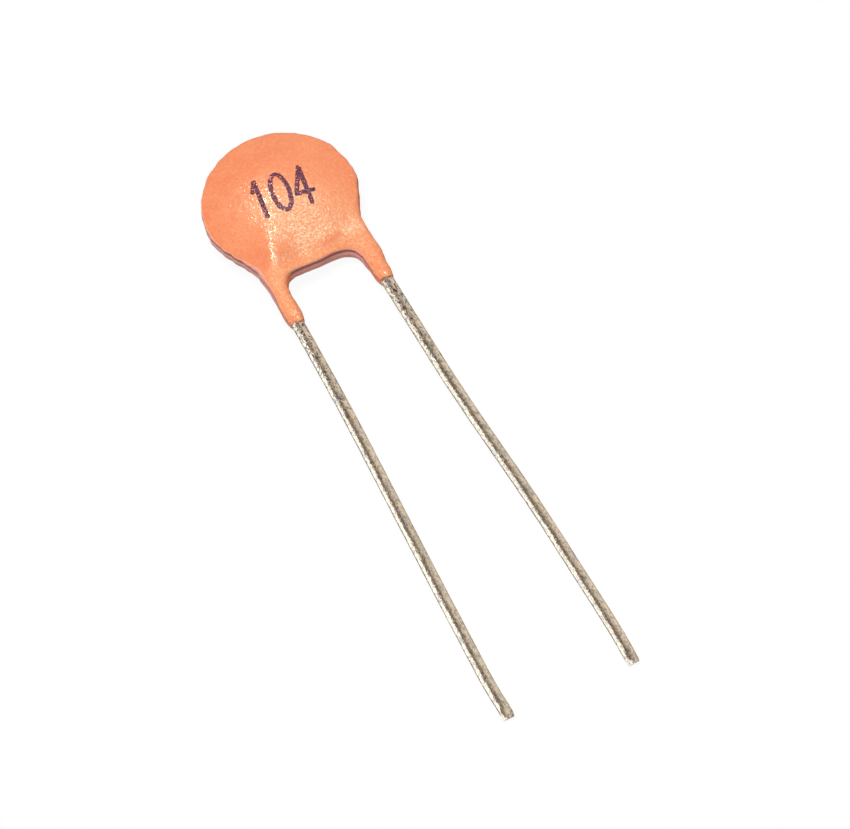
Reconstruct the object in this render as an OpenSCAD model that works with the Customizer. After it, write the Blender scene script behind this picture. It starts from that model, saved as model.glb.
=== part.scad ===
// Ceramic disc capacitor: a silvered ceramic disc soldered between two tinned wires,
// dipped in resin that rolls over the rim and runs down the wires as two short legs.
// It lies as it comes to rest on a table: on the dome of its lower face and the tip of a lead.
// Sizes are in millimetres and angles in degrees. +X runs across the leads, +Y from the leads
// to the disc and +Z up. The origin is under the middle of the whole part.

/* [Ceramic element] */
// Diameter of the ceramic disc
ceramic_d = 6.6; // [5.6:0.1:9]
// Thickness of the ceramic disc
ceramic_t = 0.3; // [0.2:0.05:0.8]
// Chamfer on both edges of the ceramic disc
ceramic_chamfer = 0.05; // [0.02:0.01:0.08]
// Bare ring of ceramic round each electrode
electrode_margin = 0.4; // [0.2:0.05:0.6]
// Thickness of each fired silver electrode
electrode_t = 0.04; // [0.02:0.01:0.08]

/* [Solder] */
// Solder between an electrode and its wire
solder_film = 0.04; // [0.02:0.01:0.08]
// Solder over the wire at the middle of its joint
solder_over = 0.06; // [0.02:0.01:0.1]
// Height of the solder at both ends of its joint
solder_end = 0.45; // [0.3:0.05:0.6]
// Solder past the inner end of the wire
solder_cap = 0.3; // [0.2:0.05:0.5]
// Bare electrode between its edge and the lower end of the solder
solder_inset = 0.1; // [0.05:0.05:0.4]

/* [Leads] */
// Diameter of the tinned wire
lead_d = 0.65; // [0.5:0.01:0.8]
// Distance between the two legs
lead_pitch = 5; // [4.4:0.1:5.4]
// Sideways offset of the pair of legs from the middle of the disc
lead_shift = 0.06; // [0:0.02:0.3]
// Lean of the wires on the electrodes, towards the middle of the disc
lead_lean = 14.5; // [8:0.5:18]
// How far each wire reaches past the middle of the disc
lead_reach = 1; // [0:0.1:1.6]
// Length of the front lead, from inside the end of its leg to its tip
front_length = 26; // [8:0.1:40]
// Slight bends along it, as shares of that length
front_bends = [0.21, 0.68, 0.92]; // [0.1:0.01:0.95]
// Heading before each bend and after the last, outwards from straight down
front_heading = [2, 3.6, 3.3, -0.8]; // [-4:0.1:4]
// Length of the back lead, from inside the end of its leg to its tip
back_length = 26.4; // [8:0.1:40]
// Slight bends along it, as shares of that length
back_bends = [0.29, 0.59, 0.92]; // [0.1:0.01:0.95]
// Heading before each bend and after the last, outwards from straight down
back_heading = [0.3, 2.6, 0.7, -2]; // [-4:0.1:4]

/* [Coating] */
// Resin round the edge of the ceramic disc
rim_wall = 0.7; // [0.5:0.05:1.2]
// Resin on the face of the ceramic disc, at its rim
rim_cover = 0.25; // [0.2:0.05:0.5]
// Resin on top of the wires at the middle of the disc
dome_cover = 0.27; // [0.2:0.01:0.5]
// Squareness of the rolled rim: 2 is an ellipse
rim_power = 5; // [2:0.1:6]
// Resin round the wires, in the legs and in the ridges over the disc
leg_skin = 0.14; // [0.08:0.01:0.18]
// Resin round the wires at the very end of the legs
end_skin = 0.08; // [0.03:0.01:0.1]
// Length over which the legs thin to that
end_taper = 0.6; // [0.3:0.1:1]
// Length of the front leg below the edge between the legs
front_leg = 2.6; // [2:0.1:4]
// Length of the back leg below the edge between the legs
back_leg = 2.6; // [2:0.1:4]
// How far the edge between the legs sags below the round of the disc
web_sag = 0.26; // [0.05:0.01:0.3]
// Fillet between that edge and each leg
web_fillet = 0.8; // [0.5:0.1:1]
// Fillet between the round of the disc and the outside of each leg
shoulder_fillet = 3; // [2:0.1:3.2]
// Width of the ridge that each wire raises on the face over it
ridge_w = 0.95; // [0.6:0.05:1]

/* [Hidden] */

// The front lead lies on the upper face and the back lead on the lower one. FRONT and BACK
// are also the sides of the part that they are on, as signs of x.
FRONT = -1;
BACK = 1;

// Heights above the middle plane of the disc
electrode_top = ceramic_t / 2 + electrode_t;
lead_r = lead_d / 2;
lead_z = electrode_top + solder_film + lead_r;
dome_h = lead_z + lead_r + dome_cover;
rim_h = ceramic_t / 2 + rim_cover;

// Plan of the disc and its legs
ceramic_r = ceramic_d / 2;
electrode_r = ceramic_r - electrode_margin;
coat_r = ceramic_r + rim_wall;
leg_r = lead_r + leg_skin;
web_y = -coat_r - web_sag;
root_y = web_y - web_fillet;
function leg_x(side) = lead_shift + side * lead_pitch / 2;
function leg_end(side) = web_y - (side == FRONT ? front_leg : back_leg);

// Steps of the coating's loft: along its legs, its fillets and the disc, and round it
LEG_STEPS = 7;
FILLET_STEPS = 8;
DISC_STEPS = 52;
ROUND_STEPS = 44;
LEG_CROWDING = 1.5;

RIDGE_FADE = 1;
RIDGE_SOFTNESS = 0.04;
SOLDER_STEPS = 12;

$fn = 64;

function mix(a, b, t) = a + (b - a) * t;
function clamp(t) = max(0, min(1, t));
function ease(t) = let (c = clamp(t)) c * c * (3 - 2 * c);
function polar(r, angle) = r * [cos(angle), sin(angle)];
function unit(v) = v / norm(v);
function angle_between(u, v) = atan2(norm(cross(u, v)), u * v);
function softly_positive(v) = (v + norm([v, RIDGE_SOFTNESS])) / 2;

// ---------------------------------------------------------------- wires

// Inside the coating a wire lies flat on its electrode, leaning inwards, drops from level with
// the ceramic's edge to the end of its leg, and turns straight down at the root of the leg.
// Just inside the end of the leg it comes level, and outside it runs on in the middle plane.
EXIT_DEPTH = 0.1;
function exit_y(side) = leg_end(side) + EXIT_DEPTH;
function wire_x(side, y) = leg_x(side) - side * tan(lead_lean) * max(0, y - root_y);
function wire_drop(side, y) = clamp((y - exit_y(side)) / (-ceramic_r - exit_y(side)));
function wire_z(side, y) = -side * lead_z * wire_drop(side, y);
function wire_at(side, y) = [wire_x(side, y), y, wire_z(side, y)];

function bare_length(side) = side == FRONT ? front_length : back_length;
function bends(side) = side == FRONT ? front_bends : back_bends;
function heading(side) = side == FRONT ? front_heading : back_heading;
function free_marks(side) = bare_length(side) * concat(0, bends(side), 1);
function stretch_along(side, i) = let (angle = heading(side)[i])
    (free_marks(side)[i + 1] - free_marks(side)[i]) * [side * sin(angle), -cos(angle), 0];
function free_point(side, i) =
    i == 0 ? wire_at(side, exit_y(side)) : free_point(side, i - 1) + stretch_along(side, i - 1);
function wire_points(side) = concat(
    [for (y = [lead_reach, -ceramic_r, root_y]) wire_at(side, y)],
    [for (i = [0 : len(heading(side))]) free_point(side, i)]);

// The bends are slight, so each one is a knuckle: a ball that just covers the square ends of
// the two stretches that meet there, which stop short of each other by SEAM
SEAM = 0.005;
KNUCKLE_COVER = 0.001;
function bend(points, i) = angle_between(points[i] - points[i - 1], points[i + 1] - points[i]);
function inset(points, i) =
    i == 0 || i == len(points) - 1 ? 0 : lead_r * tan(bend(points, i) / 2) + SEAM;
function knuckle_r(points, i) = norm([lead_r, inset(points, i)]) + KNUCKLE_COVER;

module wire(side) {
    points = wire_points(side);
    for (i = [0 : len(points) - 2]) {
        along = points[i + 1] - points[i];
        translate(points[i])
            rotate([0, acos(unit(along).z), atan2(along.y, along.x)])
                translate([0, 0, inset(points, i)])
                    cylinder(h = norm(along) - inset(points, i) - inset(points, i + 1), r = lead_r);
    }
    for (i = [1 : len(points) - 2])
        translate(points[i])
            rotate([90, 0, 0])
                sphere(r = knuckle_r(points, i));
}

// ---------------------------------------------------------------- ceramic, electrodes, solder

module ceramic() {
    half = ceramic_t / 2;
    flat_r = ceramic_r - ceramic_chamfer;
    wall_h = half - ceramic_chamfer;
    rotate_extrude()
        polygon([[0, -half], [flat_r, -half], [ceramic_r, -wall_h],
                 [ceramic_r, wall_h], [flat_r, half], [0, half]]);
}

// Puts what is made on the upper face onto the side's own face
module facing(side) {
    mirror([0, 0, side == BACK ? 1 : 0])
        children();
}

module electrode(side) {
    facing(side)
        translate([0, 0, ceramic_t / 2])
            cylinder(h = electrode_t, r = electrode_r);
}

// A half barrel of solder with its flat side down and its axis along Y
solder_h = solder_film + lead_d + solder_over;
module half_barrel(length) {
    rotate([90, 0, 0])
        rotate_extrude(angle = 180)
            polygon(concat(
                [[0, -length / 2]],
                [for (i = [0 : SOLDER_STEPS]) let (s = 2 * i / SOLDER_STEPS - 1)
                    [mix(solder_end, solder_h, cos(90 * s)), s * length / 2]],
                [[0, length / 2]]));
}

// It runs along the wire, from past its inner end to where its corners near the electrode's edge
module solder(side) {
    way = [side * sin(lead_lean), -cos(lead_lean)];
    inner = [wire_x(side, lead_reach), lead_reach];
    corner = abs(cross(inner, way)) + solder_end;
    lower_end = -inner * way + sqrt(pow(electrode_r - solder_inset, 2) - corner * corner);
    middle = inner + way * (lower_end - solder_cap) / 2;
    difference() {
        facing(side)
            translate([middle.x, middle.y, electrode_top])
                rotate([0, 0, side * lead_lean])
                    half_barrel(lower_end + solder_cap);
        wire(side);
    }
}

// ---------------------------------------------------------------- resin coating

// The coating is one loft, from the end of the front leg up through the disc and down to the
// end of the back leg. Each station holds a point on the outer outline and its inward normal,
// then a point on the outline between the legs and its inward normal.

// How thick the resin is
function nearer(x) = x < lead_shift ? FRONT : BACK;
function leg_r_at(side, y) =
    lead_r + mix(end_skin, leg_skin, sin(90 * clamp((y - leg_end(side)) / end_taper)));
function legness(y) = ease((-ceramic_r - y) / (-ceramic_r - root_y));
function dome_at(p) = rim_h + (dome_h - rim_h) * clamp(1 - p * p / (coat_r * coat_r));
function half_h(p) = mix(dome_at(p), leg_r_at(nearer(p.x), p.y), legness(p.y));

// The middle of the resin follows each wire down its leg
function side_weight(x) = sin(90 * max(-1, min(1, (x - lead_shift) / (lead_pitch / 2 - leg_r))));
function middle_z(p) = abs(side_weight(p.x)) * legness(p.y) * wire_z(nearer(p.x), p.y);

// The rim rolls over within a leg's radius of the outline
function rolled(depth, p) = let (
    power = mix(rim_power, 2, legness(p.y)),
    left = clamp(1 - depth / leg_r_at(nearer(p.x), p.y)))
    pow(1 - pow(left, power), 1 / power);

// A wire near a face raises a soft ridge over itself
function ridge(side, p) = let (
    axis = [wire_x(side, p.y), p.y],
    wanted = abs(wire_z(side, p.y)) + leg_r_at(side, p.y),
    across = (p.x - axis.x) * cos(lead_lean) / ridge_w)
    softly_positive(wanted - abs(middle_z(axis)) - half_h(axis))
        * exp(-across * across) * ease((lead_reach + RIDGE_FADE - p.y) / RIDGE_FADE);

// Stations of the loft
function leg_station(side, f) = let (
    out_y = mix(leg_end(side), shoulder(side).y, f),
    in_y = mix(leg_end(side), root_y, f))
    [[leg_x(side) + side * leg_r_at(side, out_y), out_y], [-side, 0],
     [leg_x(side) - side * leg_r_at(side, in_y), in_y], [side, 0]];

// Centre of the shoulder fillet, which touches the outside of the leg and the round of the disc
function shoulder(side) = let (x = leg_x(side) + side * (leg_r + shoulder_fillet))
    [x, -sqrt(pow(coat_r + shoulder_fillet, 2) - x * x)];
function shoulder_angle(side) = atan2(-shoulder(side).y, side * shoulder(side).x);
function fillet_station(side, f) = let (
    out_way = polar(1, shoulder_angle(side) * f),
    out_normal = [-side * out_way.x, out_way.y],
    in_way = polar(1, 90 * f),
    in_normal = [side * in_way.x, in_way.y])
    [shoulder(side) + shoulder_fillet * out_normal, out_normal,
     web_end(side) - [0, web_fillet] + web_fillet * in_normal, in_normal];

function web_end(side) = [leg_x(side) - side * (leg_r + web_fillet), web_y];
function disc_station(f) = let (
    angle = mix(180 + shoulder_angle(FRONT), -shoulder_angle(BACK), f))
    [polar(coat_r, angle), polar(-1, angle), mix(web_end(FRONT), web_end(BACK), f), [0, 1]];

stations = concat(
    [for (i = [0 : LEG_STEPS]) leg_station(FRONT, pow(i / LEG_STEPS, LEG_CROWDING))],
    [for (i = [1 : FILLET_STEPS]) fillet_station(FRONT, i / FILLET_STEPS)],
    [for (i = [1 : DISC_STEPS - 1]) disc_station(i / DISC_STEPS)],
    [for (i = [FILLET_STEPS : -1 : 1]) fillet_station(BACK, i / FILLET_STEPS)],
    [for (i = [LEG_STEPS : -1 : 0]) leg_station(BACK, pow(i / LEG_STEPS, LEG_CROWDING))]);

// A ring of points round the resin at a station, from its outer edge over the top
function ring(station) = [for (k = [0 : ROUND_STEPS - 1]) let (
    turn = 360 * k / ROUND_STEPS,
    p = mix(station[2], station[0], (1 + cos(turn)) / 2),
    depth = min((p - station[0]) * station[1], (p - station[2]) * station[3]),
    face = turn < 180 ? FRONT : BACK)
    [p.x, p.y, middle_z(p) - face * rolled(depth, p) * (half_h(p) + ridge(face, p))]];

module loft(rings) {
    n = len(rings[0]);
    last = len(rings) - 1;
    polyhedron(
        points = [for (r = rings) each r],
        faces = concat(
            [[for (k = [0 : n - 1]) k]],
            [for (i = [0 : last - 1], k = [0 : n - 1]) let (a = i * n + k, b = i * n + (k + 1) % n)
                each [[a, a + n, b + n], [a, b + n, b]]],
            [[for (k = [n - 1 : -1 : 0]) last * n + k]]));
}

// ---------------------------------------------------------------- rest

// The part leans back by rest_tilt, so that both the dome of its lower face and the tip of the
// longer lead touch the table
function tip(side) = free_point(side, len(heading(side)));
tip_reach = max(-tip(FRONT).y, -tip(BACK).y);
dome_bend = (dome_h - rim_h) / (coat_r * coat_r);
rest_slope = 2 * dome_bend * (tip_reach - sqrt(tip_reach * tip_reach - (dome_h - lead_r) / dome_bend));
rest_tilt = atan(rest_slope);
rest_z = dome_h * cos(rest_tilt) + rest_slope * sin(rest_tilt) / (4 * dome_bend);
rest_y = (tip_reach * cos(rest_tilt) + lead_r * sin(rest_tilt) - coat_r * cos(rest_tilt)) / 2;
function edge_x(side) =
    side * max([coat_r, for (p = wire_points(side)) side * p.x + lead_r]);
rest_x = -(edge_x(FRONT) + edge_x(BACK)) / 2;

module at_rest() {
    translate([rest_x, rest_y, rest_z])
        rotate([rest_tilt, 0, 0])
            children();
}

// ---------------------------------------------------------------- pieces

module coating() {
    color([0.96, 0.53, 0.36])
        at_rest()
            difference() {
                loft([for (s = stations) ring(s)]);
                ceramic();
                for (side = [FRONT, BACK]) {
                    electrode(side);
                    solder(side);
                    wire(side);
                }
            }
}

module ceramic_disc() {
    color("tan") at_rest() ceramic();
}

module electrode_front() {
    color("gainsboro") at_rest() electrode(FRONT);
}

module electrode_back() {
    color("gainsboro") at_rest() electrode(BACK);
}

module solder_front() {
    color("darkgray") at_rest() solder(FRONT);
}

module solder_back() {
    color("darkgray") at_rest() solder(BACK);
}

module lead_front() {
    color("silver") at_rest() wire(FRONT);
}

module lead_back() {
    color("silver") at_rest() wire(BACK);
}

coating();
ceramic_disc();
electrode_front();
electrode_back();
solder_front();
solder_back();
lead_front();
lead_back();
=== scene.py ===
"""Looks of a resin-dipped ceramic disc capacitor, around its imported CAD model.

The coat, the wires and the printed value are made here in the part's own frame, in
millimetres: the disc's middle at the origin, +X across the legs, +Y away from them, +Z out of
the upper face. Each one is then turned into the row frame, in metres, as the part lies.
"""

import math
import random

import bmesh
import bpy
import numpy as np
from mathutils import Matrix, Vector, noise
from mathutils.bvhtree import BVHTree


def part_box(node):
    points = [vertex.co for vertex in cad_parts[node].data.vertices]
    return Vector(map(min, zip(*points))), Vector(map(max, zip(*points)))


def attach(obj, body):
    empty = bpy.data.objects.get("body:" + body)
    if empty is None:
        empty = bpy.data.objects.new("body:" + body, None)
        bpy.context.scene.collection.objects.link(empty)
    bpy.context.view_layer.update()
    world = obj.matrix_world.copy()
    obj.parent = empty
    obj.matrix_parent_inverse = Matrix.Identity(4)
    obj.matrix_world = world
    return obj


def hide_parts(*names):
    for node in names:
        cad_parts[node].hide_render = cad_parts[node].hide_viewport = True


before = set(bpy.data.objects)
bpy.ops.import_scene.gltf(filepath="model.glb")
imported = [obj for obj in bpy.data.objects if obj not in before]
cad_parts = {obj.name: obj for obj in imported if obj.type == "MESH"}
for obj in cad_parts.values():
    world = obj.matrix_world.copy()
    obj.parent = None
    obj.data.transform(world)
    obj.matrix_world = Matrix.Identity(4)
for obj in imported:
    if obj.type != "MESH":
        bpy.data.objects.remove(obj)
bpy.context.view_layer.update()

MM = 0.001
BODY = "root"

# ---------------------------------------------------------------- the part's driving dimensions

CERAMIC_R = 3.3
ELECTRODE_TOP = 0.19
SOLDER_FILM = 0.04
LEAD_R = 0.325
LEAD_PITCH = 5
LEAD_SHIFT = 0.06
LEAD_LEAN = math.radians(14.5)
LEAD_REACH = 1

RIM_WALL = 0.7
RIM_H = 0.4
DOME_COVER = 0.27
LEG_SKIN = 0.14
LIP_SKIN = 0.04
END_TAPER = 0.6
WEB_SAG = 0.26
WEB_FILLET = 0.8
SHOULDER_FILLET = 3
RIDGE_W = 0.95
RIDGE_FADE = 1
RIDGE_SOFTNESS = 0.04
EXIT_DEPTH = 0.1

FRONT, BACK = -1, 1
LEG_LENGTH = {FRONT: 2.6, BACK: 2.6}
FREE_LENGTH = {FRONT: 26, BACK: 26.4}
FREE_BENDS = {FRONT: (0.21, 0.68, 0.92), BACK: (0.29, 0.59, 0.92)}
FREE_HEADING = {FRONT: (2, 3.6, 3.3, -0.8), BACK: (0.3, 2.6, 0.7, -2)}

LEAD_Z = ELECTRODE_TOP + SOLDER_FILM + LEAD_R
DOME_H = LEAD_Z + LEAD_R + DOME_COVER
COAT_R = CERAMIC_R + RIM_WALL
LEG_R = LEAD_R + LEG_SKIN
WEB_Y = -COAT_R - WEB_SAG
ROOT_Y = WEB_Y - WEB_FILLET
LEG_X = {side: LEAD_SHIFT + side * LEAD_PITCH / 2 for side in (FRONT, BACK)}
LEG_END = {side: WEB_Y - LEG_LENGTH[side] for side in (FRONT, BACK)}
EXIT_Y = {side: LEG_END[side] + EXIT_DEPTH for side in (FRONT, BACK)}


def part_to_row():
    """The part's own frame, in millimetres, to the row frame, from the ceramic disc as it lies."""
    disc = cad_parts["ceramic_disc"]
    low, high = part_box("ceramic_disc")
    normal = Vector()
    for face in disc.data.polygons:
        if face.normal.z > 0.9:
            normal += face.area * face.normal
    normal.normalize()
    across = Vector((1, 0, 0))
    turn = Matrix((across, normal.cross(across), normal)).transposed().to_4x4()
    return Matrix.Translation((low + high) / 2) @ turn @ Matrix.Scale(MM, 4)


TO_ROW = part_to_row()

# ---------------------------------------------------------------- small helpers


def mix(a, b, t):
    return a + (b - a) * t


def clamp(t):
    return np.clip(t, 0, 1)


def ease(t):
    c = clamp(t)
    return c * c * (3 - 2 * c)


def by_side(side, values):
    """The value of each point's own side, where side is an array of FRONT and BACK."""
    return np.where(side == FRONT, values[FRONT], values[BACK])


def mesh_of(bm, name):
    mesh = bpy.data.meshes.new(name)
    bm.to_mesh(mesh)
    bm.free()
    return mesh


def new_object(name, mesh):
    obj = bpy.data.objects.new(name, mesh)
    bpy.context.scene.collection.objects.link(obj)
    return obj


def mesh_from(name, points, faces):
    mesh = bpy.data.meshes.new(name)
    mesh.from_pydata([tuple(p) for p in points], [], faces)
    mesh.update()
    return mesh


def place(obj, slot, material, replaces=None):
    """Turns a finished mesh into the row frame and gives it its material."""
    obj.data.transform(TO_ROW)
    obj.data.polygons.foreach_set("use_smooth", [True] * len(obj.data.polygons))
    obj.data.materials.clear()
    obj.data.materials.append(material)
    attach(obj, BODY)
    if replaces:
        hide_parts(replaces)
    return obj


def apply_modifiers(obj):
    depsgraph = bpy.context.evaluated_depsgraph_get()
    mesh = bpy.data.meshes.new_from_object(obj.evaluated_get(depsgraph))
    obj.modifiers.clear()
    obj.data = mesh


def combine(obj, other, operation):
    """Joins another closed mesh to the object's (UNION) or takes it away (DIFFERENCE)."""
    boolean = obj.modifiers.new("boolean", "BOOLEAN")
    boolean.operation, boolean.solver, boolean.object = operation, "MANIFOLD", other
    apply_modifiers(obj)


def points_of(mesh):
    """The mesh's points and their normals, a row each."""
    arrays = []
    for name in ("co", "normal"):
        array = np.zeros(len(mesh.vertices) * 3)
        mesh.vertices.foreach_get(name, array)
        arrays.append(array.reshape(-1, 3))
    return arrays


# ---------------------------------------------------------------- the wires' path


def wire_x(side, y):
    return by_side(side, LEG_X) - side * math.tan(LEAD_LEAN) * np.maximum(0, y - ROOT_Y)


def wire_z(side, y):
    exit_y = by_side(side, EXIT_Y)
    return -side * LEAD_Z * clamp((y - exit_y) / (-CERAMIC_R - exit_y))


def wire_points(side):
    """Corners of a wire's path, from its inner end to its tip."""
    s = np.array(side)
    points = [
        Vector((float(wire_x(s, y)), y, float(wire_z(s, y))))
        for y in (LEAD_REACH, -CERAMIC_R, ROOT_Y, EXIT_Y[side])
    ]
    marks = (0, *FREE_BENDS[side], 1)
    for start, stop, heading in zip(marks, marks[1:], FREE_HEADING[side]):
        angle = math.radians(heading)
        way = Vector((side * math.sin(angle), -math.cos(angle), 0))
        points.append(points[-1] + FREE_LENGTH[side] * (stop - start) * way)
    return points


# ---------------------------------------------------------------- the coat's loft

LEG_STATIONS, FILLET_STATIONS, DISC_STATIONS, ROUND_STEPS = 24, 24, 200, 220
# The resin draws a crisper edge round its upper face than the solid has, and a softer one below
CRISP_POWER, UNDER_POWER, LEG_POWER = 6, 2.8, 3
DOME_SOFTNESS = 0.1


def leg_r_at(side, y):
    rise = clamp((y - by_side(side, LEG_END)) / END_TAPER)
    return LEAD_R + mix(LIP_SKIN, LEG_SKIN, np.sin(math.pi / 2 * rise))


def legness(y):
    return ease((-CERAMIC_R - y) / (-CERAMIC_R - ROOT_Y))


def nearer(x):
    return np.where(x < LEAD_SHIFT, FRONT, BACK)


def half_h(x, y):
    rise = 1 - (x * x + y * y) / COAT_R**2
    dome = RIM_H + (DOME_H - RIM_H) * (rise + np.hypot(rise, DOME_SOFTNESS)) / 2
    return mix(dome, leg_r_at(nearer(x), y), legness(y))


def middle_z(x, y):
    reach = np.clip((x - LEAD_SHIFT) / (LEAD_PITCH / 2 - LEG_R), -1, 1)
    return np.abs(np.sin(math.pi / 2 * reach)) * legness(y) * wire_z(nearer(x), y)


def rolled(depth, x, y, face):
    power = mix(np.where(face == FRONT, CRISP_POWER, UNDER_POWER), LEG_POWER, legness(y))
    left = clamp(1 - depth / leg_r_at(nearer(x), y))
    return (1 - left**power) ** (1 / power)


def ridge(face, x, y):
    axis_x = wire_x(face, y)
    wanted = np.abs(wire_z(face, y)) + leg_r_at(face, y)
    short = wanted - np.abs(middle_z(axis_x, y)) - half_h(axis_x, y)
    across = (x - axis_x) * math.cos(LEAD_LEAN) / RIDGE_W
    height = (short + np.hypot(short, RIDGE_SOFTNESS)) / 2
    return height * np.exp(-across * across) * ease((LEAD_REACH + RIDGE_FADE - y) / RIDGE_FADE)


def shoulder(side):
    x = LEG_X[side] + side * (LEG_R + SHOULDER_FILLET)
    return np.array([x, -math.sqrt((COAT_R + SHOULDER_FILLET) ** 2 - x * x)])


def shoulder_angle(side):
    centre = shoulder(side)
    return math.atan2(-centre[1], side * centre[0])


def web_end(side):
    return np.array([LEG_X[side] - side * (LEG_R + WEB_FILLET), WEB_Y])


def leg_station(side, f):
    out_y = mix(LEG_END[side], shoulder(side)[1], f)
    in_y = mix(LEG_END[side], ROOT_Y, f)
    s = np.array(side)
    return (
        (LEG_X[side] + side * float(leg_r_at(s, out_y)), out_y),
        (-side, 0),
        (LEG_X[side] - side * float(leg_r_at(s, in_y)), in_y),
        (side, 0),
    )


def fillet_station(side, f):
    out_angle, in_angle = shoulder_angle(side) * f, math.pi / 2 * f
    out_normal = np.array([-side * math.cos(out_angle), math.sin(out_angle)])
    in_normal = np.array([side * math.cos(in_angle), math.sin(in_angle)])
    return (
        shoulder(side) + SHOULDER_FILLET * out_normal,
        out_normal,
        web_end(side) - np.array([0, WEB_FILLET]) + WEB_FILLET * in_normal,
        in_normal,
    )


def disc_station(f):
    angle = mix(math.pi + shoulder_angle(FRONT), -shoulder_angle(BACK), f)
    way = np.array([math.cos(angle), math.sin(angle)])
    return COAT_R * way, -way, mix(web_end(FRONT), web_end(BACK), f), (0, 1)


def coat_stations():
    legs = [f / LEG_STATIONS for f in range(LEG_STATIONS + 1)]
    fillets = [f / FILLET_STATIONS for f in range(1, FILLET_STATIONS + 1)]
    return (
        [leg_station(FRONT, f) for f in legs]
        + [fillet_station(FRONT, f) for f in fillets]
        + [disc_station(f / DISC_STATIONS) for f in range(1, DISC_STATIONS)]
        + [fillet_station(BACK, f) for f in reversed(fillets)]
        + [leg_station(BACK, f) for f in reversed(legs)]
    )


def loft(name):
    """The coat's outer form, as the CAD lofts it, with finer steps."""
    stations = np.array([[np.asarray(v, float) for v in s] for s in coat_stations()])
    out, out_n, inn, inn_n = (stations[:, i, None, :] for i in range(4))
    turn = np.arange(ROUND_STEPS) * 2 * math.pi / ROUND_STEPS
    p = mix(inn, out, ((1 + np.cos(turn)) / 2)[None, :, None])
    depth = np.minimum(((p - out) * out_n).sum(2), ((p - inn) * inn_n).sum(2))
    x, y = p[..., 0], p[..., 1]
    face = np.broadcast_to(np.where(turn < math.pi, FRONT, BACK)[None, :], x.shape)
    z = middle_z(x, y) - face * rolled(depth, x, y, face) * (half_h(x, y) + ridge(face, x, y))
    points = np.stack([x, y, z], 2).reshape(-1, 3)
    rows, n = len(stations), ROUND_STEPS
    faces = [tuple(range(n))]
    for i in range(rows - 1):
        for k in range(n):
            a, b = i * n + k, i * n + (k + 1) % n
            faces.append((a, a + n, b + n, b))
    faces.append(tuple(range(rows * n - 1, (rows - 1) * n - 1, -1)))
    return new_object(name, mesh_from(name, points, faces))


# ---------------------------------------------------------------- the coat's surface

VOXEL = 0.048
DIP_SIZE, DIP_DEPTH = 1.6, 0.015
RIPPLE_SIZE, RIPPLE_DEPTH = 0.55, 0.008
PEEL_SIZE, PEEL_DEPTH = 0.2, 0.003
LIP_REACH, LIP_SIZE, LIP_DEPTH = 0.5, 0.9, 0.05
EDGE_WAVES = ((1.5, 0.07), (0.45, 0.06))
# The side wall draws in under the crisp edge: how far, at what share of the height, how high
UNDERCUT, UNDERCUT_AT, UNDERCUT_SPAN = 0.09, 0.45, 0.28
# Where resin gathered on the side wall or drew back from it: place, reach and height
GATHERED = (((3.3, -5), 1.3, 0.14), ((1.1, -4.3), 0.8, -0.06))
# Spots that were rubbed smooth: place, reach across the wires and along them
RUBBED = (
    ((-1.77, -3), 0.14, 0.65),
    ((2.15, -3.3), 0.3, 0.4),
    ((-2.25, -6.5), 0.15, 0.3),
    ((2.7, -6.6), 0.15, 0.3),
)
# The wall's painted shade, its painted dark line and the painted highlight show less on the legs, and
# hardly where the wall faces +X; the undercut fades with them
LEG_FADE, RIGHT_FADE, RIGHT_FROM, RIGHT_SPAN = 0.3, 0.9, 0.2, 0.5
# The painted highlight along the upper edge: how far the surface leans over where it is brightest, and
# how quickly it fades from there
EDGE_HIGHLIGHT_LEAN, EDGE_HIGHLIGHT_SPAN = 0.7, 0.18
# The shares that the material reads at each point; the wall, groove and edge shares carry painted
# shade, a painted dark line of shade and a painted highlight
LEG, WALL_SHADE, GROOVE_SHADE, EDGE_HIGHLIGHT, GLINT = "leg", "wall", "groove", "edge", "glint"
# The cavity is cut a hair larger than the pieces in it
INNER_NODES = ("ceramic_disc", "electrode_front", "electrode_back", "solder_front", "solder_back")
HOLLOW_GROWTH = 0.001
# Edges that turn by more than this stay sharp
LIP_ANGLE = math.radians(50)


def wobble(p, size, seed):
    """Smooth noise from about -1 to 1 with features of that size."""
    return noise.noise(Vector((p[0] / size + seed, p[1] / size - seed, p[2] / size)))


def lip_shift(p):
    """The resin stops along a ragged line on each wire: how far a point at a leg's end moves."""
    side = FRONT if p[0] < LEAD_SHIFT else BACK
    near = 1 - (p[1] - LEG_END[side]) / LIP_REACH
    if p[1] > -CERAMIC_R or near <= 0:
        return 0
    turn = math.atan2(p[2], p[0] - LEG_X[side])
    around = (math.cos(turn) / LIP_SIZE, math.sin(turn) / LIP_SIZE, side * 7)
    return min(1, near) * LIP_DEPTH * noise.noise(Vector(around)) * 2


def edge_shift(p):
    """How far the side wall stands out at a point, from its waves and gathered resin."""
    waves = sum(depth * wobble((p[0], p[1], 0), size, 17) for size, depth in EDGE_WAVES)
    drops = (
        height * math.exp(-((p[0] - x) ** 2 + (p[1] - y) ** 2) / reach**2)
        for (x, y), reach, height in GATHERED
    )
    return waves + sum(drops)


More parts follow.
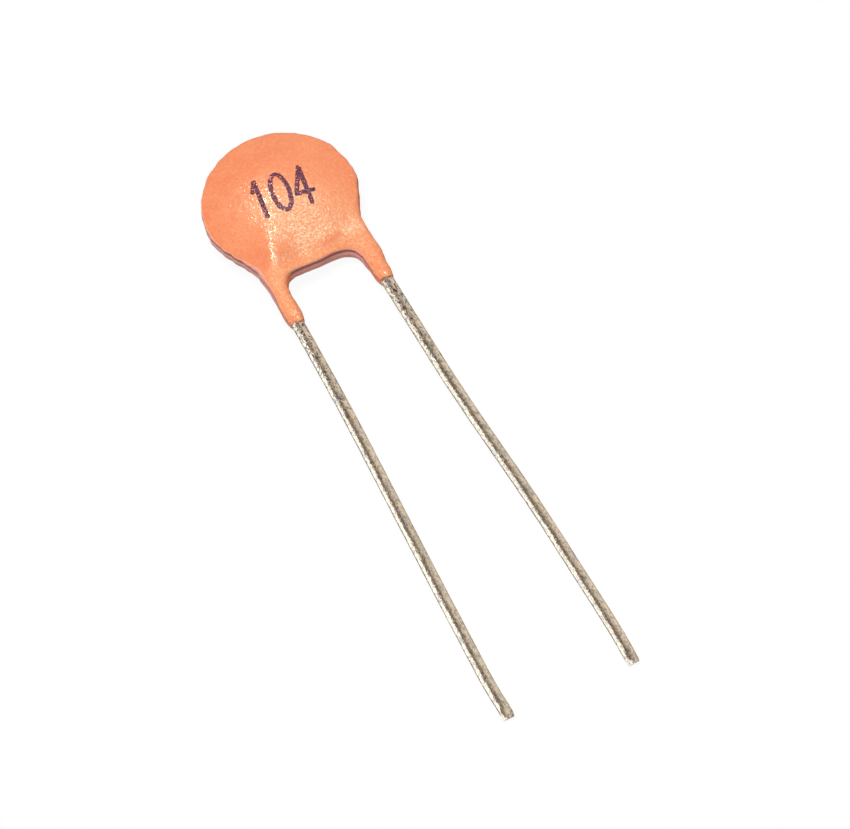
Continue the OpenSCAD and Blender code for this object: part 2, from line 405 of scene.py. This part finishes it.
def roughen(mesh):
    """Gives the coat its ripples, wavy wall and ragged lips, and what the material reads, among it the
    masks of painted shade and a painted highlight.
    """
    co, normals = points_of(mesh)
    depth = np.array(
        [
            DIP_DEPTH * wobble(p, DIP_SIZE, 3)
            + RIPPLE_DEPTH * wobble(p, RIPPLE_SIZE, 7)
            + PEEL_DEPTH * wobble(p, PEEL_SIZE, 11)
            for p in co
        ]
    )
    x, y, z = co.T
    level = (z - middle_z(x, y)) / half_h(x, y)
    wall = np.hypot(normals[:, 0], normals[:, 1])
    # The band under the crisp edge where the wall draws in; the material paints it with a dark line of
    # shade
    groove = wall * np.exp(-(((level - UNDERCUT_AT) / UNDERCUT_SPAN) ** 2))
    rubbed = 0
    for (x0, y0), across, along in RUBBED:
        aside = x - x0 + math.copysign(math.tan(LEAD_LEAN), x0) * (y - y0)
        rubbed = rubbed + np.exp(-((aside / across) ** 2) - ((y - y0) / along) ** 2)
    # How much of the painted shade, the painted highlight and the undercut each point keeps
    bare = 1 - LEG_FADE * ease((ROOT_Y - y) / WEB_FILLET)
    bare = clamp(bare - RIGHT_FADE * ease((normals[:, 0] - RIGHT_FROM) / RIGHT_SPAN))
    # Where the painted highlight runs along the upper edge
    edge = np.exp(-(((wall - EDGE_HIGHLIGHT_LEAN) / EDGE_HIGHLIGHT_SPAN) ** 2)) * (normals[:, 2] > 0)
    shares = {LEG: legness(y), WALL_SHADE: bare * wall, GROOVE_SHADE: bare * groove}
    shares |= {EDGE_HIGHLIGHT: bare * edge, GLINT: clamp(rubbed)}
    out = wall * np.array([edge_shift(p) for p in co]) - UNDERCUT * bare * groove
    out *= clamp((y - ROOT_Y) / WEB_FILLET + 1)
    co = co + depth[:, None] * normals
    co[:, :2] += out[:, None] * normals[:, :2]
    co[:, 1] += [lip_shift(p) for p in co]
    mesh.vertices.foreach_set("co", co.ravel())
    for name, share in shares.items():
        mesh.attributes.new(name, "FLOAT", "POINT").data.foreach_set("value", share)
    mesh.update()


def hollow_out(coat):
    """Cuts the coat's inside to the wires and the other pieces in it."""
    pieces = [tube(f"cut_{side}", side) for side in (FRONT, BACK)]
    for name in INNER_NODES:
        bm = bmesh.new()
        bm.from_mesh(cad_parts[name].data)
        bm.transform(TO_ROW.inverted())
        bmesh.ops.remove_doubles(bm, verts=bm.verts, dist=HOLLOW_GROWTH / 2)
        pieces.append(new_object(f"cut_{name}", mesh_of(bm, f"cut_{name}")))
    for piece in pieces:
        co, normals = points_of(piece.data)
        piece.data.vertices.foreach_set("co", (co + HOLLOW_GROWTH * normals).ravel())
    core, *others = pieces
    for other in others:
        combine(core, other, "UNION")
    combine(coat, core, "DIFFERENCE")
    for piece in pieces:
        bpy.data.objects.remove(piece)
    # The solids' own shading came along with the cut
    coat.data.attributes.remove(coat.data.attributes["custom_normal"])
    coat.data.set_sharp_from_angle(angle=LIP_ANGLE)


def make_coat(material):
    coat = loft("resin_coat")
    remesh = coat.modifiers.new("remesh", "REMESH")
    remesh.mode = "VOXEL"
    remesh.voxel_size = VOXEL
    smooth = coat.modifiers.new("smooth", "SMOOTH")
    smooth.factor, smooth.iterations = 0.5, 2
    apply_modifiers(coat)
    roughen(coat.data)
    hollow_out(coat)
    return place(coat, "resin", material, replaces="coating")


# ---------------------------------------------------------------- the wires

WIRE_SIDES = 48
WIRE_STEP = 0.07
# How far before and after a corner of its path a wire starts and ends its bend
BEND_REACH = 2.5
BEND_STEPS = 8
TIN_WAVE, TIN_WAVE_LENGTH = 0.008, 0.9
TIN_GRAIN, TIN_GRAIN_SIZE = 0.004, 0.16
# Each tip's cut: its turn round the wire from level, and the slants of its two sides
PINCH = {FRONT: (84, 52, 30), BACK: (97, 50, 35)}
PINCH_DROP = 0.15


def rounded(points, reach):
    """A path along these corners, with each bend a curve that starts that far before it."""
    path = [points[0]]
    for before, corner, after in zip(points, points[1:], points[2:]):
        into, out = (corner - before), (after - corner)
        r = min(reach, into.length / 2, out.length / 2)
        start, stop = corner - into.normalized() * r, corner + out.normalized() * r
        for i in range(BEND_STEPS + 1):
            t = i / BEND_STEPS
            path.append((1 - t) ** 2 * start + 2 * t * (1 - t) * corner + t * t * stop)
    path.append(points[-1])
    return path


def resampled(path, step):
    total = sum((b - a).length for a, b in zip(path, path[1:]))
    count = math.ceil(total / step)
    wanted = [total * i / count for i in range(count + 1)]
    out, walked, i = [], 0, 0
    for w in wanted:
        while i < len(path) - 2 and walked + (path[i + 1] - path[i]).length < w:
            walked += (path[i + 1] - path[i]).length
            i += 1
        span = (path[i + 1] - path[i]).length
        out.append(path[i].lerp(path[i + 1], min(1, (w - walked) / span)))
    return out


def tin_depth(p, side):
    """How far the dipped tin stands off the drawn wire at a point outside the coat."""
    if p.y > LEG_END[side]:
        return 0
    long = Vector((p.x * 2, p.y / TIN_WAVE_LENGTH + side * 5, p.z * 2))
    fine = Vector((p.x, p.y * 0.6, p.z + side * 9)) / TIN_GRAIN_SIZE
    return TIN_WAVE * noise.noise(long) + TIN_GRAIN * noise.noise(fine)


def tube(name, side):
    """A whole wire as a closed tube, from inside the coat to its pinched tip."""
    path = resampled(rounded(wire_points(side), BEND_REACH), WIRE_STEP)
    up = Vector((0, 0, 1))
    bm = bmesh.new()
    rings = []
    for i, p in enumerate(path):
        along = (path[min(i + 1, len(path) - 1)] - path[max(i - 1, 0)]).normalized()
        across = along.cross(up).normalized()
        lift = across.cross(along)
        ring = []
        for k in range(WIRE_SIDES):
            angle = 2 * math.pi * k / WIRE_SIDES
            way = math.cos(angle) * across + math.sin(angle) * lift
            skin = p + LEAD_R * way
            ring.append(bm.verts.new(skin + tin_depth(skin, side) * way))
        rings.append(ring)
    for a, b in zip(rings, rings[1:]):
        for k in range(WIRE_SIDES):
            j = (k + 1) % WIRE_SIDES
            bm.faces.new((a[k], a[j], b[j], b[k]))
    bm.faces.new(rings[0][::-1])
    bm.faces.new(rings[-1])
    bmesh.ops.recalc_face_normals(bm, faces=bm.faces)
    pinch(bm, path, side)
    return new_object(name, mesh_of(bm, name))


def pinch(bm, path, side):
    """Cutters leave the tip as a chisel: two slanting cuts that meet in an edge across it."""
    tip, along = path[-1], (path[-1] - path[-3]).normalized()
    turn, *slants = (math.radians(v) for v in PINCH[side])
    rise = Matrix.Rotation(turn, 3, along) @ along.cross(Vector((0, 0, 1))).normalized()
    if rise.z < 0:
        rise = -rise
    for slant, way in zip(slants, (rise, -rise)):
        cut = bmesh.ops.bisect_plane(
            bm,
            geom=bm.verts[:] + bm.edges[:] + bm.faces[:],
            plane_co=tip - PINCH_DROP * rise,
            plane_no=math.sin(slant) * way + math.cos(slant) * along,
            clear_outer=True,
        )
        edges = [e for e in cut["geom_cut"] if isinstance(e, bmesh.types.BMEdge)]
        bmesh.ops.contextual_create(bm, geom=edges)
    bmesh.ops.recalc_face_normals(bm, faces=bm.faces)


def make_wire(name, side, node, material):
    return place(tube(name, side), "tinned_wire", material, replaces=node)


# ---------------------------------------------------------------- the printed value

DIGIT_H, DIGIT_W = 2.2, 0.85
STROKE_R = 0.12
INK_CELL = 0.025
INK_THICK, INK_BED = 0.012, 0.004
INK_EDGE, INK_EDGE_SIZE = 0.035, 0.16
PINHOLE_SIZE, PINHOLE_LEVEL = 0.13, 0.4
PRINT_TURN = math.radians(-8)
PRINT_CENTRE = (0.14, -0.08)
DIGIT_SPACING = 1.13


def arc(cx, cy, rx, ry, start, stop, steps=28):
    angles = [math.radians(mix(start, stop, i / steps)) for i in range(steps + 1)]
    return [(cx + rx * math.cos(a), cy + ry * math.sin(a)) for a in angles]


def digit_strokes():
    """Centre lines of the digits in a plain hand: heights from 0 to 1, widths from 0 to 1."""
    one = [[(0.28, 0.74), (0.56, 1.0), (0.56, 0.0)]]
    nought = [arc(0.5, 0.5, 0.5, 0.5, 0, 360)]
    four = [[(1.0, 0.3), (0.0, 0.3), (0.68, 1.0), (0.68, 0.0)]]
    return [one, nought, four]


def stroke_lines():
    """Every stroke's segments on the face, in the part's frame."""
    segments = []
    cos, sin = math.cos(PRINT_TURN), math.sin(PRINT_TURN)
    for i, strokes in enumerate(digit_strokes()):
        for stroke in strokes:
            points = []
            for u, v in stroke:
                y = (v - 0.5) * DIGIT_H
                x = (i - 1) * DIGIT_SPACING + (u - 0.5) * DIGIT_W
                points.append((cos * x - sin * y, sin * x + cos * y))
            segments += list(zip(points, points[1:]))
    return np.array(segments) + np.array(PRINT_CENTRE)


def ink_field(points):
    """Positive where there is ink."""
    near = np.full(len(points), np.inf)
    for a, b in stroke_lines():
        d = b - a
        t = clamp(((points - a) @ d) / (d @ d))
        near = np.minimum(near, np.hypot(*(points - a - t[:, None] * d).T))
    field = STROKE_R - near
    for i in np.nonzero(field > -STROKE_R)[0]:
        x, y = points[i]
        edge = noise.noise(Vector((x, y, 4)) / INK_EDGE_SIZE)
        hole = noise.noise(Vector((x, y, 9)) / PINHOLE_SIZE)
        field[i] += INK_EDGE * edge
        field[i] = min(field[i], (PINHOLE_LEVEL - hole) * PINHOLE_SIZE / 2)
    return field


def ink_outline():
    """Points and triangles that fill the strokes, cut along the edge of the ink."""
    ends = stroke_lines().reshape(-1, 2)
    low, high = ends.min(0) - 3 * STROKE_R, ends.max(0) + 3 * STROKE_R
    nx, ny = (int(n) + 1 for n in (high - low) / INK_CELL)
    grid = np.stack(np.meshgrid(np.arange(nx), np.arange(ny), indexing="ij"), 2).reshape(-1, 2)
    points = low + grid * INK_CELL
    field = ink_field(points)
    flat, faces, kept = [], [], {}

    def corner(key, at):
        """The index of an outline's corner, which is kept once."""
        if key not in kept:
            kept[key] = len(flat)
            flat.append(at)
        return kept[key]

    for gx in range(nx - 1):
        for gy in range(ny - 1):
            a = gx * ny + gy
            square = (a, a + ny, a + ny + 1, a + 1)
            if max(field[list(square)]) <= 0:
                continue
            for tri in ((square[0], square[1], square[2]), (square[0], square[2], square[3])):
                shape = []
                for i, j in zip(tri, tri[1:] + tri[:1]):
                    if field[i] > 0:
                        shape.append(corner(i, points[i]))
                    if (field[i] > 0) != (field[j] > 0):
                        t = field[i] / (field[i] - field[j])
                        crossing = (min(i, j), max(i, j))
                        shape.append(corner(crossing, mix(points[i], points[j], t)))
                if len(shape) > 2:
                    faces.append(tuple(shape))
    return flat, faces


def make_ink(coat, material):
    """The value's film of ink, laid on the coat's own surface."""
    surface = BVHTree.FromPolygons(
        [v.co.copy() for v in coat.data.vertices], [p.vertices[:] for p in coat.data.polygons]
    )
    flat, faces = ink_outline()
    up = (TO_ROW.to_3x3() @ Vector((0, 0, 1))).normalized()
    bed, top = [], []
    for x, y in flat:
        above = TO_ROW @ Vector((x, y, 2 * DOME_H))
        hit = surface.ray_cast(above, -up)[0]
        bed.append(hit - INK_BED * MM * up)
        top.append(hit + INK_THICK * MM * up)
    n = len(flat)
    edges = [edge for face in faces for edge in zip(face, face[1:] + face[:1])]
    backwards = {(j, i) for i, j in edges}
    walls = [(j, i, i + n, j + n) for i, j in edges if (i, j) not in backwards]
    solid = [tuple(i + n for i in f) for f in faces] + [f[::-1] for f in faces] + walls
    inverse = TO_ROW.inverted()
    points = [inverse @ p for p in bed + top]
    ink = new_object("printed_value", mesh_from("printed_value", points, solid))
    return place(ink, "ink", material)


# ---------------------------------------------------------------- materials


class Shader:
    """A node material, with its Principled shader and short ways to add to it."""

    def __init__(self, name):
        self.material = bpy.data.materials.new(name)
        self.material.use_nodes = True
        self.tree = self.material.node_tree
        self.surface = self.tree.nodes["Principled BSDF"]
        self.place = self.tree.nodes.new("ShaderNodeTexCoord").outputs["Object"]

    def set(self, **values):
        for name, value in values.items():
            self.surface.inputs[name.replace("_", " ")].default_value = value

    def link(self, output, name):
        self.tree.links.new(output, self.surface.inputs[name])

    def add(self, kind, inputs=(), **settings):
        node = self.tree.nodes.new(kind)
        for name, value in settings.items():
            setattr(node, name, value)
        for name, value in dict(inputs).items():
            if isinstance(value, bpy.types.NodeSocket):
                self.tree.links.new(value, node.inputs[name])
            else:
                node.inputs[name].default_value = value
        return node

    def stretched(self, x, y, z):
        node = self.add("ShaderNodeMapping", {"Vector": self.place, "Scale": (x, y, z)})
        return node.outputs["Vector"]

    def grain(self, size, detail=3, roughness=0.5, place=None):
        """Noise from 0 to 1 with features of that size in millimetres."""
        node = self.add(
            "ShaderNodeTexNoise",
            {
                "Vector": place or self.place,
                "Scale": 1 / (size * MM),
                "Detail": detail,
                "Roughness": roughness,
            },
        )
        return node.outputs["Fac"]

    def share(self, name):
        return self.add("ShaderNodeAttribute", attribute_name=name).outputs["Fac"]

    def ramp(self, value, *stops):
        node = self.add("ShaderNodeValToRGB", {"Fac": value})
        elements = node.color_ramp.elements
        while len(elements) < len(stops):
            elements.new(0.5)
        for element, (position, colour) in zip(elements, stops):
            element.position = position
            element.color = (*colour, 1)
        return node.outputs["Color"]

    def range(self, value, low, high, to_low, to_high):
        node = self.add(
            "ShaderNodeMapRange",
            {
                "Value": value,
                "From Min": float(low),
                "From Max": float(high),
                "To Min": to_low,
                "To Max": to_high,
            },
        )
        return node.outputs["Result"]

    def product(self, a, b):
        return self.add("ShaderNodeMath", {0: a, 1: b}, operation="MULTIPLY").outputs[0]

    def blend(self, a, b, factor):
        node = self.add("ShaderNodeMix", data_type="RGBA")
        for socket, value in ((node.inputs[0], factor), (node.inputs[6], a), (node.inputs[7], b)):
            if isinstance(value, bpy.types.NodeSocket):
                self.tree.links.new(value, socket)
            else:
                socket.default_value = value if isinstance(value, float) else (*value, 1)
        return node.outputs[2]

    def bump(self, height, depth, normal=None, strength=1.0):
        """Bump whose height from 0 to 1 is that depth in millimetres."""
        inputs = {"Height": height, "Distance": depth * MM, "Strength": strength}
        if normal:
            inputs["Normal"] = normal
        return self.add("ShaderNodeBump", inputs).outputs["Normal"]


def resin():
    s = Shader("resin")
    cloudy = s.grain(1.6, 4, 0.6)
    fine = s.grain(0.14, 2)
    body = s.ramp(cloudy, (0.3, (0.885, 0.235, 0.098)), (0.7, (0.945, 0.285, 0.13)))
    colour = s.blend(body, (0.96, 0.4, 0.2), s.range(fine, 0.45, 0.75, 0.0, 0.6))
    # Smooth grains in a satin surface glint where they face the lamp; on the rougher legs, pale specks
    # in the colour are painted glints
    specks = s.grain(0.1, 2, 0.6)
    on_legs = s.range(s.share(LEG), 0.05, 0.4, 0.15, 1.0)
    # Painted glints: pale specks on the legs
    pale = s.product(on_legs, s.range(specks, 0.52, 0.64, 0.0, 0.6))
    colour = s.blend(colour, (0.95, 0.46, 0.19), pale)
    # Painted shade: the side wall takes a muted pink, as a wall in shade lit only by the floor's
    # bounce
    colour = s.blend(colour, (0.78, 0.36, 0.32), s.range(s.share(WALL_SHADE), 0.6, 0.95, 0.0, 0.9))
    # Painted shade: a dark maroon line in the undercut under the upper edge
    colour = s.blend(colour, (0.28, 0.08, 0.06), s.range(s.share(GROOVE_SHADE), 0.35, 0.9, 0.0, 0.65))
    # Painted highlight: a pale pink line along the upper edge
    colour = s.blend(colour, (0.94, 0.45, 0.32), s.range(s.share(EDGE_HIGHLIGHT), 0.3, 0.9, 0.0, 0.6))
    s.link(colour, "Base Color")
    satin = s.range(s.share(LEG), 0.02, 0.3, s.range(specks, 0.45, 0.6, 0.42, 0.14), 0.6)
    wet = s.range(specks, 0.4, 0.5, 0.4, 0.08)
    s.link(s.range(s.share(GLINT), 0.2, 0.6, satin, wet), "Roughness")
    s.link(s.range(specks, 0.42, 0.6, 0.3, 0.9), "Specular IOR Level")
    coarse = s.bump(s.grain(0.4, 2), 0.014)
    s.link(s.bump(s.grain(0.15, 2, 0.6), 0.016, coarse), "Normal")
    s.set(IOR=1.52)
    return s.material


# The tin turns smoother over this length below the coat
ROUGH_TIN = 8


def tinned_wire():
    s = Shader("tinned_wire")
    drawn = s.stretched(1, 0.4, 1)
    # The dip left the tin rough by the coat and smoother further down
    leg_end = (TO_ROW @ Vector((0, LEG_END[BACK], 0))).y
    y = s.add("ShaderNodeSeparateXYZ", {"Vector": s.place}).outputs["Y"]
    rough = s.range(y, leg_end - ROUGH_TIN * MM, leg_end, 0.45, 0.9)
    blotch = s.grain(0.35, 3, 0.6, s.stretched(1, 0.6, 1))
    colour = s.ramp(
        blotch, (0.38, (0.72, 0.75, 0.75)), (0.5, (0.97, 0.9, 0.82)), (0.62, (1, 0.98, 0.9))
    )
    specks = s.grain(0.12, 2, 0.6, s.stretched(1, 0.7, 1))
    dark = s.range(specks, 0.41, 0.48, 1.0, 0.0)
    s.link(s.blend(colour, (0.14, 0.1, 0.07), s.product(dark, rough)), "Base Color")
    s.set(Metallic=1)
    s.link(s.range(s.grain(0.25, 3, 0.6, drawn), 0.3, 0.7, 0.08, 0.2), "Roughness")
    streaks = s.bump(s.grain(0.22, 3, 0.6, drawn), 0.03)
    s.link(s.bump(s.grain(0.12, 2, 0.6), 0.07, streaks, rough), "Normal")
    return s.material


def ink():
    s = Shader("ink")
    mottle = s.grain(0.1, 2, 0.6)
    s.link(s.ramp(mottle, (0.4, (0.06, 0.008, 0.025)), (0.62, (0.25, 0.075, 0.11))), "Base Color")
    s.link(s.range(s.grain(0.1, 1), 0.42, 0.55, 0.4, 0.08), "Roughness")
    s.link(s.bump(s.grain(0.14, 2), 0.04), "Normal")
    s.set(Specular_Tint=(1, 0.35, 0.5, 1))
    return s.material


def ceramic():
    s = Shader("ceramic")
    body = s.grain(0.5, 5, 0.6)
    s.link(s.ramp(body, (0.3, (0.42, 0.27, 0.17)), (0.7, (0.56, 0.39, 0.26))), "Base Color")
    s.link(s.range(s.grain(0.08, 2), 0.3, 0.7, 0.5, 0.75), "Roughness")
    s.link(s.bump(s.grain(0.05, 3, 0.6), 0.005), "Normal")
    return s.material


def silver():
    s = Shader("silver")
    fired = s.grain(0.3, 4, 0.65)
    s.link(s.ramp(fired, (0.3, (0.7, 0.69, 0.65)), (0.7, (0.86, 0.85, 0.82))), "Base Color")
    s.set(Metallic=1)
    s.link(s.range(s.grain(0.06, 3), 0.3, 0.7, 0.4, 0.62), "Roughness")
    s.link(s.bump(s.grain(0.05, 3), 0.004), "Normal")
    return s.material


def solder():
    s = Shader("solder")
    frost = s.grain(0.35, 4, 0.6)
    s.link(s.ramp(frost, (0.3, (0.5, 0.5, 0.5)), (0.7, (0.72, 0.72, 0.73))), "Base Color")
    s.set(Metallic=1)
    s.link(s.range(s.grain(0.12, 3), 0.3, 0.7, 0.22, 0.5), "Roughness")
    s.link(s.bump(s.grain(0.15, 3, 0.6), 0.01), "Normal")
    return s.material


# ---------------------------------------------------------------- floor, world, lights, camera

FLOOR_SIZE = 1.2
LAMP_DISTANCE = 0.4
KEY_WAY, KEY_SIZE, KEY_LEVEL = (-0.1, 0, 1), 0.16, 0.98
SHEEN_TINT, GLINT_TINT = (0.15, 1, 0.78), (0.8, 1, 0.75)
# The lamps that the coat and its ink only reflect: way, size, level and tint
SHEENS = {
    "dome_sheen": ((0.14, 0.14, 0.98), 0.3, 0.72, SHEEN_TINT),
    "flank_sheen": ((0.68, -0.06, 0.73), 0.1, 0.06, SHEEN_TINT),
    "ridge_glint": ((0.03, 0.5, 0.866), 0.06, 0.2, GLINT_TINT),
}
# The floor glows almost white for the camera, and its share of white takes the shadow
FLOOR_GLOW, FLOOR_WHITE = 0.94, 0.055
# The same for rays that come off or through a surface
MIRRORED_GLOW, MIRRORED_WHITE = 0.15, 0.85
# The floor's colour for the light that it throws back
FLOOR_BOUNCE = 0.75
# The world's even light
AMBIENT = 0.15
# The studio that the surfaces mirror: each part's colour, where it lies, and how it fades in
CEILING_TINT = (0.5, 0.47, 0.41)
WARM_TINT, WARM_WAY, WARM_EDGE = (0.78, 0.65, 0.5), (1, 0, 0), (0.3, 0.85)
DARK_TINT, DARK_WAY, DARK_EDGE = (0.25, 0.18, 0.135), (-1, 0, 0), (-0.28, 0.04)
PALE_TINT, PALE_WAY, PALE_EDGE = (1.35, 1.33, 1.22), (-1, 0, -0.6), (0.25, 0.34)
BELOW_TINT, BELOW_WAY, BELOW_EDGE = (0.28, 0.21, 0.16), (0, 0, -1), (0.44, 0.56)


def add_floor():
    """A pale floor, white with a faint shadow to the camera. Glossy rays don't meet it."""
    half = FLOOR_SIZE / 2
    corners = [(-half, -half, 0), (half, -half, 0), (half, half, 0), (-half, half, 0)]
    floor = new_object("floor", mesh_from("floor", corners, [(0, 1, 2, 3)]))
    material = bpy.data.materials.new("floor")
    material.use_nodes = True
    nodes, links = material.node_tree.nodes, material.node_tree.links
    nodes.clear()
    path = nodes.new("ShaderNodeLightPath")

    def diffuse(level):
        node = nodes.new("ShaderNodeBsdfDiffuse")
        node.inputs["Color"].default_value = (level, level, level, 1)
        return node.outputs[0]

    def chosen(factor, a, b):
        node = nodes.new("ShaderNodeMixShader")
        for socket, value in zip(node.inputs, (factor, a, b)):
            links.new(value, socket)
        return node.outputs[0]

    def glowing(glow, level):
        light, both = nodes.new("ShaderNodeEmission"), nodes.new("ShaderNodeAddShader")
        light.inputs["Strength"].default_value = glow
        links.new(light.outputs[0], both.inputs[0])
        links.new(diffuse(level), both.inputs[1])
        return both.outputs[0]

    mirrored = nodes.new("ShaderNodeMath")
    mirrored.operation = "MAXIMUM"
    links.new(path.outputs["Is Glossy Ray"], mirrored.inputs[0])
    links.new(path.outputs["Is Transmission Ray"], mirrored.inputs[1])
    bright = glowing(MIRRORED_GLOW, MIRRORED_WHITE)
    lit = chosen(mirrored.outputs[0], diffuse(FLOOR_BOUNCE), bright)
    white = glowing(FLOOR_GLOW, FLOOR_WHITE)
    out = nodes.new("ShaderNodeOutputMaterial")
    links.new(chosen(path.outputs["Is Camera Ray"], lit, white), out.inputs["Surface"])
    floor.data.materials.append(material)
    floor.visible_glossy = False


def add_world():
    """White to the camera, evenly dim as light, and a studio to what mirrors it."""
    world = bpy.data.worlds.new("studio")
    bpy.context.scene.world = world
    world.use_nodes = True
    nodes, links = world.node_tree.nodes, world.node_tree.links
    background = nodes["Background"]
    path = nodes.new("ShaderNodeLightPath")
    way = nodes.new("ShaderNodeTexCoord").outputs["Generated"]

    def mixed(factor, a, b):
        node = nodes.new("ShaderNodeMix")
        node.data_type = "RGBA"
        links.new(factor, node.inputs[0])
        for socket, value in ((node.inputs[6], a), (node.inputs[7], b)):
            if isinstance(value, bpy.types.NodeSocket):
                links.new(value, socket)
            else:
                socket.default_value = (*value, 1)
        return node.outputs[2]

    def sharp(value, start, stop):
        node = nodes.new("ShaderNodeMapRange")
        node.interpolation_type = "SMOOTHSTEP"
        links.new(value, node.inputs["Value"])
        node.inputs["From Min"].default_value = start
        node.inputs["From Max"].default_value = stop
        return node.outputs["Result"]

    def share(axis, start, stop):
        """From 0 to 1 as a direction's part along the axis goes from start to stop."""
        dot = nodes.new("ShaderNodeVectorMath")
        dot.operation = "DOT_PRODUCT"
        dot.inputs[1].default_value = Vector(axis).normalized()
        links.new(way, dot.inputs[0])
        return sharp(dot.outputs["Value"], start, stop)

    studio = mixed(share(WARM_WAY, *WARM_EDGE), CEILING_TINT, WARM_TINT)
    studio = mixed(share(DARK_WAY, *DARK_EDGE), studio, DARK_TINT)
    studio = mixed(share(PALE_WAY, *PALE_EDGE), studio, PALE_TINT)
    studio = mixed(share(BELOW_WAY, *BELOW_EDGE), studio, BELOW_TINT)
    seen = mixed(path.outputs["Is Glossy Ray"], (AMBIENT,) * 3, studio)
    links.new(mixed(path.outputs["Is Camera Ray"], seen, (1, 1, 1)), background.inputs["Color"])


def add_lamp(name, way, size, level, tint=(1, 1, 1)):
    """A round soft lamp whose light makes a white surface that faces it that bright."""
    light = bpy.data.lights.new(name, "AREA")
    light.shape = "DISK"
    light.size = size
    light.color = tint
    light.energy = level * math.pi**2 * LAMP_DISTANCE**2
    lamp = bpy.data.objects.new(name, light)
    bpy.context.scene.collection.objects.link(lamp)
    target = TO_ROW @ Vector((0, 0, 0))
    lamp.location = target + Vector(way).normalized() * LAMP_DISTANCE
    lamp.rotation_euler = (target - lamp.location).to_track_quat("-Z", "Y").to_euler()
    return lamp


def add_lights(glossed):
    """The key lights everything. The sheens are only what the coat and its ink reflect of a lamp."""
    add_lamp("key", KEY_WAY, KEY_SIZE, KEY_LEVEL).visible_glossy = False
    receivers = bpy.data.collections.new("glossed")
    for obj in glossed:
        receivers.objects.link(obj)
    for name, settings in SHEENS.items():
        lamp = add_lamp(name, *settings)
        lamp.visible_diffuse = False
        lamp.light_linking.receiver_collection = receivers


# The picture's size, the view's angles on the disc in degrees, and its distance
IMAGE_W, IMAGE_H = 850, 829
VIEW_AZIMUTH, VIEW_ELEVATION, VIEW_ROLL = -14.5, 56.85, 14.48
VIEW_DISTANCE = 1.371
# The picture's scale at the disc, and the pixel of the disc's middle
PIXELS_PER_MM = 20.034
DISC_PIXEL = (280.5, 203.6)
SENSOR = 36


def add_camera():
    """A long lens at the photograph's angle on the disc, which puts the disc's middle at its pixel."""
    azimuth, elevation, roll = (
        math.radians(v) for v in (VIEW_AZIMUTH, VIEW_ELEVATION, VIEW_ROLL)
    )
    back = Vector(
        (
            math.sin(azimuth) * math.cos(elevation),
            -math.cos(azimuth) * math.cos(elevation),
            math.sin(elevation),
        )
    )
    level = Vector((math.cos(azimuth), math.sin(azimuth), 0))
    upright = back.cross(level)
    right = math.cos(roll) * level - math.sin(roll) * upright
    up = back.cross(right)
    turn = TO_ROW.to_3x3() * (1 / MM) @ Matrix((right, up, back)).transposed()
    middle = TO_ROW @ Vector((0, 0, 0))
    focal = PIXELS_PER_MM / MM * VIEW_DISTANCE
    aim = Vector((DISC_PIXEL[0] - IMAGE_W / 2, IMAGE_H / 2 - DISC_PIXEL[1], -focal))
    pan = aim.normalized().rotation_difference(Vector((0, 0, -1))).to_matrix()
    camera = bpy.data.cameras.new("camera")
    camera.sensor_width = SENSOR
    camera.lens = SENSOR * focal / IMAGE_W
    camera.clip_start, camera.clip_end = 0.01, 10
    view = bpy.data.objects.new("camera", camera)
    bpy.context.scene.collection.objects.link(view)
    place_at = Matrix.Translation(middle + VIEW_DISTANCE * (turn @ Vector((0, 0, 1))))
    view.matrix_world = place_at @ (turn @ pan).to_4x4()
    bpy.context.scene.camera = view


# ---------------------------------------------------------------- the scene

random.seed(1)
bpy.context.scene.view_settings.view_transform = "Standard"

coat = make_coat(resin())
wire = tinned_wire()
make_wire("wire_front", FRONT, "lead_front", wire)
make_wire("wire_back", BACK, "lead_back", wire)
print_ink = make_ink(coat, ink())

solder_look, silver_look = solder(), silver()
for name, material, slot in (
    ("ceramic_disc", ceramic(), "ceramic"),
    ("electrode_front", silver_look, "silver"),
    ("electrode_back", silver_look, "silver"),
    ("solder_front", solder_look, "solder"),
    ("solder_back", solder_look, "solder"),
):
    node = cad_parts[name]
    node.data.materials.clear()
    node.data.materials.append(material)

add_floor()
add_world()
add_lights([coat, print_ink])
add_camera()
